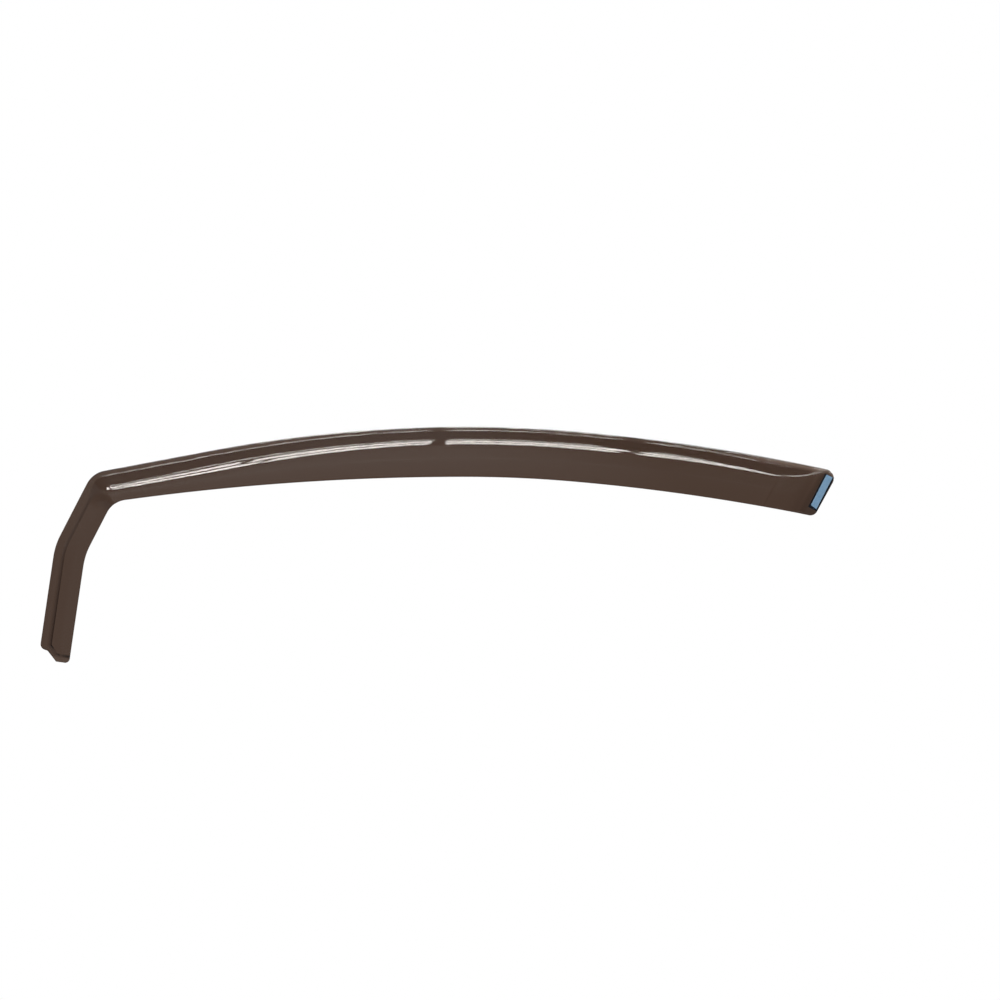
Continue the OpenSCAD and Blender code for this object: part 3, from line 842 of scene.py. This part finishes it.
# The picture's width and the size of one of its pixels, and the pixel that shows the crown
PICTURE_PX = 1000
PIXEL = 0.0012
CROWN_PX = (464.7, 426.85)
CAMERA_FAR = 10.0
SENSOR_W = 36
target = Vector((
    (PICTURE_PX / 2 - CROWN_PX[0]) * PIXEL - tab_p.x * MM,
    0,
    (CROWN_PX[1] - PICTURE_PX / 2) * PIXEL - tab_p.y * MM,
))
camera = bpy.data.objects.new("camera", bpy.data.cameras.new("camera"))
camera.data.sensor_width = SENSOR_W
camera.data.lens = SENSOR_W * CAMERA_FAR / (PICTURE_PX * PIXEL)
camera.location = target + Vector((0, -CAMERA_FAR, 0))
camera.rotation_euler = (radians(90), 0, 0)
scene.collection.objects.link(camera)
scene.camera = camera
scene.view_settings.view_transform = "Standard"

# Floor: plain, pale and matt. It looks white to the camera, straight and through the sheet,
# and mirrors in the sheet as an even grey.
FLOOR_DROP = 0.5
FLOOR_SIZE = 3.0
half = FLOOR_SIZE / 2
floor_corners = [(-half, -half, 0), (half, -half, 0), (half, half, 0), (-half, half, 0)]
floor_mesh = bpy.data.meshes.new("floor")
floor_mesh.from_pydata(floor_corners, [], [(0, 1, 2, 3)])
floor =bpy.data.objects.new("floor", floor_mesh)
floor.location = (target.x, 0, cad_low[2] - FLOOR_DROP)
scene.collection.objects.link(floor)
pale_floor = bpy.data.materials.new("pale_floor")
pale_floor.use_nodes = True
nodes, links = pale_floor.node_tree.nodes, pale_floor.node_tree.links
nodes.clear()
paths = nodes.new("ShaderNodeLightPath")
seen = nodes.new("ShaderNodeMath")
seen.operation = "MAXIMUM"
links.new(paths.outputs["Is Camera Ray"], seen.inputs[0])
links.new(paths.outputs["Is Transmission Ray"], seen.inputs[1])
lift = nodes.new("ShaderNodeMath")
lift.operation = "MULTIPLY"
lift.inputs[1].default_value = 0.35
links.new(seen.outputs[0], lift.inputs[0])
matt = nodes.new("ShaderNodeBsdfDiffuse")
matt.inputs["Color"].default_value = (0.8, 0.8, 0.8, 1)
pale = nodes.new("ShaderNodeEmission")
links.new(lift.outputs[0], pale.inputs["Strength"])
both = nodes.new("ShaderNodeAddShader")
links.new(matt.outputs[0], both.inputs[0])
links.new(pale.outputs[0], both.inputs[1])
mirrored = nodes.new("ShaderNodeEmission")
mirrored.inputs["Strength"].default_value = 0.3
either = nodes.new("ShaderNodeMixShader")
links.new(paths.outputs["Is Glossy Ray"], either.inputs[0])
links.new(both.outputs[0], either.inputs[1])
links.new(mirrored.outputs[0], either.inputs[2])
end = nodes.new("ShaderNodeOutputMaterial")
links.new(either.outputs[0], end.inputs["Surface"])
floor_mesh.materials.append(pale_floor)

# Room: white to the camera, straight and through the sheet. In mirrored light it is a grey that
# changes with height and from side to side, as walls and ceiling do, and full white behind the part.
ROOM_LOW = 0.25
ROOM_HIGH = 0.35
ROOM = (
    (0.5, 0.2),
    (0.6, 0.45),
    (0.645, 0.47),
    (0.66, 0.75),
    (0.675, 0.49),
    (0.74, 0.5),
    (0.8, 0.15),
    (0.9, 0.3),
)
SIDE_LEFT = 0.2
SIDE_RIGHT = 0.12
SIDES = ((0.25, 0.3), (0.38, 0.42), (0.5, 0.36), (0.62, 0.12))


def greys(ramp, first, last, between_them):
    """Fill a colour ramp with greys, the inner ones as pairs of place and grey."""
    stops = ramp.color_ramp.elements
    stops[0].color = (first, first, first, 1)
    stops[1].color = (last, last, last, 1)
    for position, grey in between_them:
        stops.new(position).color = (grey, grey, grey, 1)


world = bpy.data.worlds.new("studio")
scene.world = world
world.use_nodes = True
nodes, links = world.node_tree.nodes, world.node_tree.links
nodes.clear()
paths = nodes.new("ShaderNodeLightPath")
seen = nodes.new("ShaderNodeMath")
seen.operation = "MAXIMUM"
links.new(paths.outputs["Is Camera Ray"], seen.inputs[0])
links.new(paths.outputs["Is Transmission Ray"], seen.inputs[1])
coords = nodes.new("ShaderNodeTexCoord")
sky_way = nodes.new("ShaderNodeSeparateXYZ")
links.new(coords.outputs["Generated"], sky_way.inputs[0])
height = nodes.new("ShaderNodeMapRange")
height.inputs["From Min"].default_value = -1.0
links.new(sky_way.outputs["Z"], height.inputs["Value"])
room = nodes.new("ShaderNodeValToRGB")
greys(room, ROOM_LOW, ROOM_HIGH, ROOM)
links.new(height.outputs["Result"], room.inputs["Fac"])
behind = nodes.new("ShaderNodeMapRange")
behind.inputs["From Min"].default_value = 0.1
behind.inputs["From Max"].default_value = 0.6
links.new(sky_way.outputs["Y"], behind.inputs["Value"])
sideways = nodes.new("ShaderNodeMapRange")
sideways.inputs["From Min"].default_value = -0.5
sideways.inputs["From Max"].default_value = 0.5
links.new(sky_way.outputs["X"], sideways.inputs["Value"])
side = nodes.new("ShaderNodeValToRGB")
greys(side, SIDE_LEFT, SIDE_RIGHT, SIDES)
links.new(sideways.outputs["Result"], side.inputs["Fac"])
sided = nodes.new("ShaderNodeVectorMath")
sided.operation = "DOT_PRODUCT"
links.new(room.outputs["Color"], sided.inputs[0])
links.new(side.outputs["Color"], sided.inputs[1])
links.new(sided.outputs["Value"], behind.inputs["To Min"])
level = nodes.new("ShaderNodeMath")
level.operation = "MAXIMUM"
links.new(seen.outputs[0], level.inputs[0])
links.new(behind.outputs["Result"], level.inputs[1])
sky = nodes.new("ShaderNodeBackground")
links.new(level.outputs[0], sky.inputs["Strength"])
sky.inputs["Color"].default_value = (1, 1, 1, 1)
end = nodes.new("ShaderNodeOutputWorld")
links.new(sky.outputs[0], end.inputs["Surface"])

# Lamps: softboxes with a slightly warm light
WARM = (1, 0.97, 0.93)


def softbox(name, where, aim, size, radiance):
    """Lamp of an even radiance, turned from where it stands to its aim."""
    lamp = bpy.data.lights.new(name, "AREA")
    lamp.shape = "RECTANGLE"
    lamp.size, lamp.size_y = size
    lamp.color = WARM
    lamp.energy = radiance * size[0] * size[1] * pi
    box = bpy.data.objects.new(name, lamp)
    box.location = where
    box.rotation_euler = (aim - where).to_track_quat("-Z", "Y").to_euler()
    scene.collection.objects.link(box)
    return box


# Rows of softboxes, on a board that leans over the visor's middle by 45 degrees: name,
# height up the board, height and radiance of a box, and both ends of each box in the row
BOARD_OUT = 1.5
BOARD_SLOPE = 0.7071
middle = Vector((-0.427, 0, 0.03))
BARS = (
    ("low", -0.177, 0.255, 20, ((-0.93, -0.594), (-0.57, -0.11), (-0.063, 0.41), (0.462, 0.868))),
    ("high", 0.213, 0.265, 20, ((-1.05, -0.70), (-0.667, -0.11), (-0.063, 0.464), (0.508, 0.868))),
    ("dim", 0.62, 0.14, 10, ((-1.05, -0.11), (-0.063, 0.42), (0.58, 0.78))),
    ("corner", 0.0, 0.45, 20, ((-1.42, -1.15),)),
)
for name, lift, tall, radiance, row in BARS:
    up_board = lift * BOARD_SLOPE
    for left, right in row:
        where = middle + Vector(((left + right) / 2, up_board - BOARD_OUT, up_board + BOARD_OUT))
        bar = softbox(name, where, Vector((where.x, 0, middle.z)), (right - left, tall), radiance)
        bar.visible_diffuse = False
# One more box lights the tail's rolled edge, and two wide ones the whole part.
strip =softbox("tail", middle + Vector((1.56, -1.57, 1.43)), middle + Vector((0.9, 0, 0)), (1.0, 0.36), 15)
strip.visible_diffuse = False
fill = softbox("fill", middle + Vector((-0.6, -2.5, 1.0)), middle, (2.0, 2.0), 3.0)
fill.visible_glossy = False
softbox("overhead", middle + Vector((0.05, 0.6, 2.2)), middle + Vector((0.05, 0.6, 0)), (3.2, 2.2), 2.0)
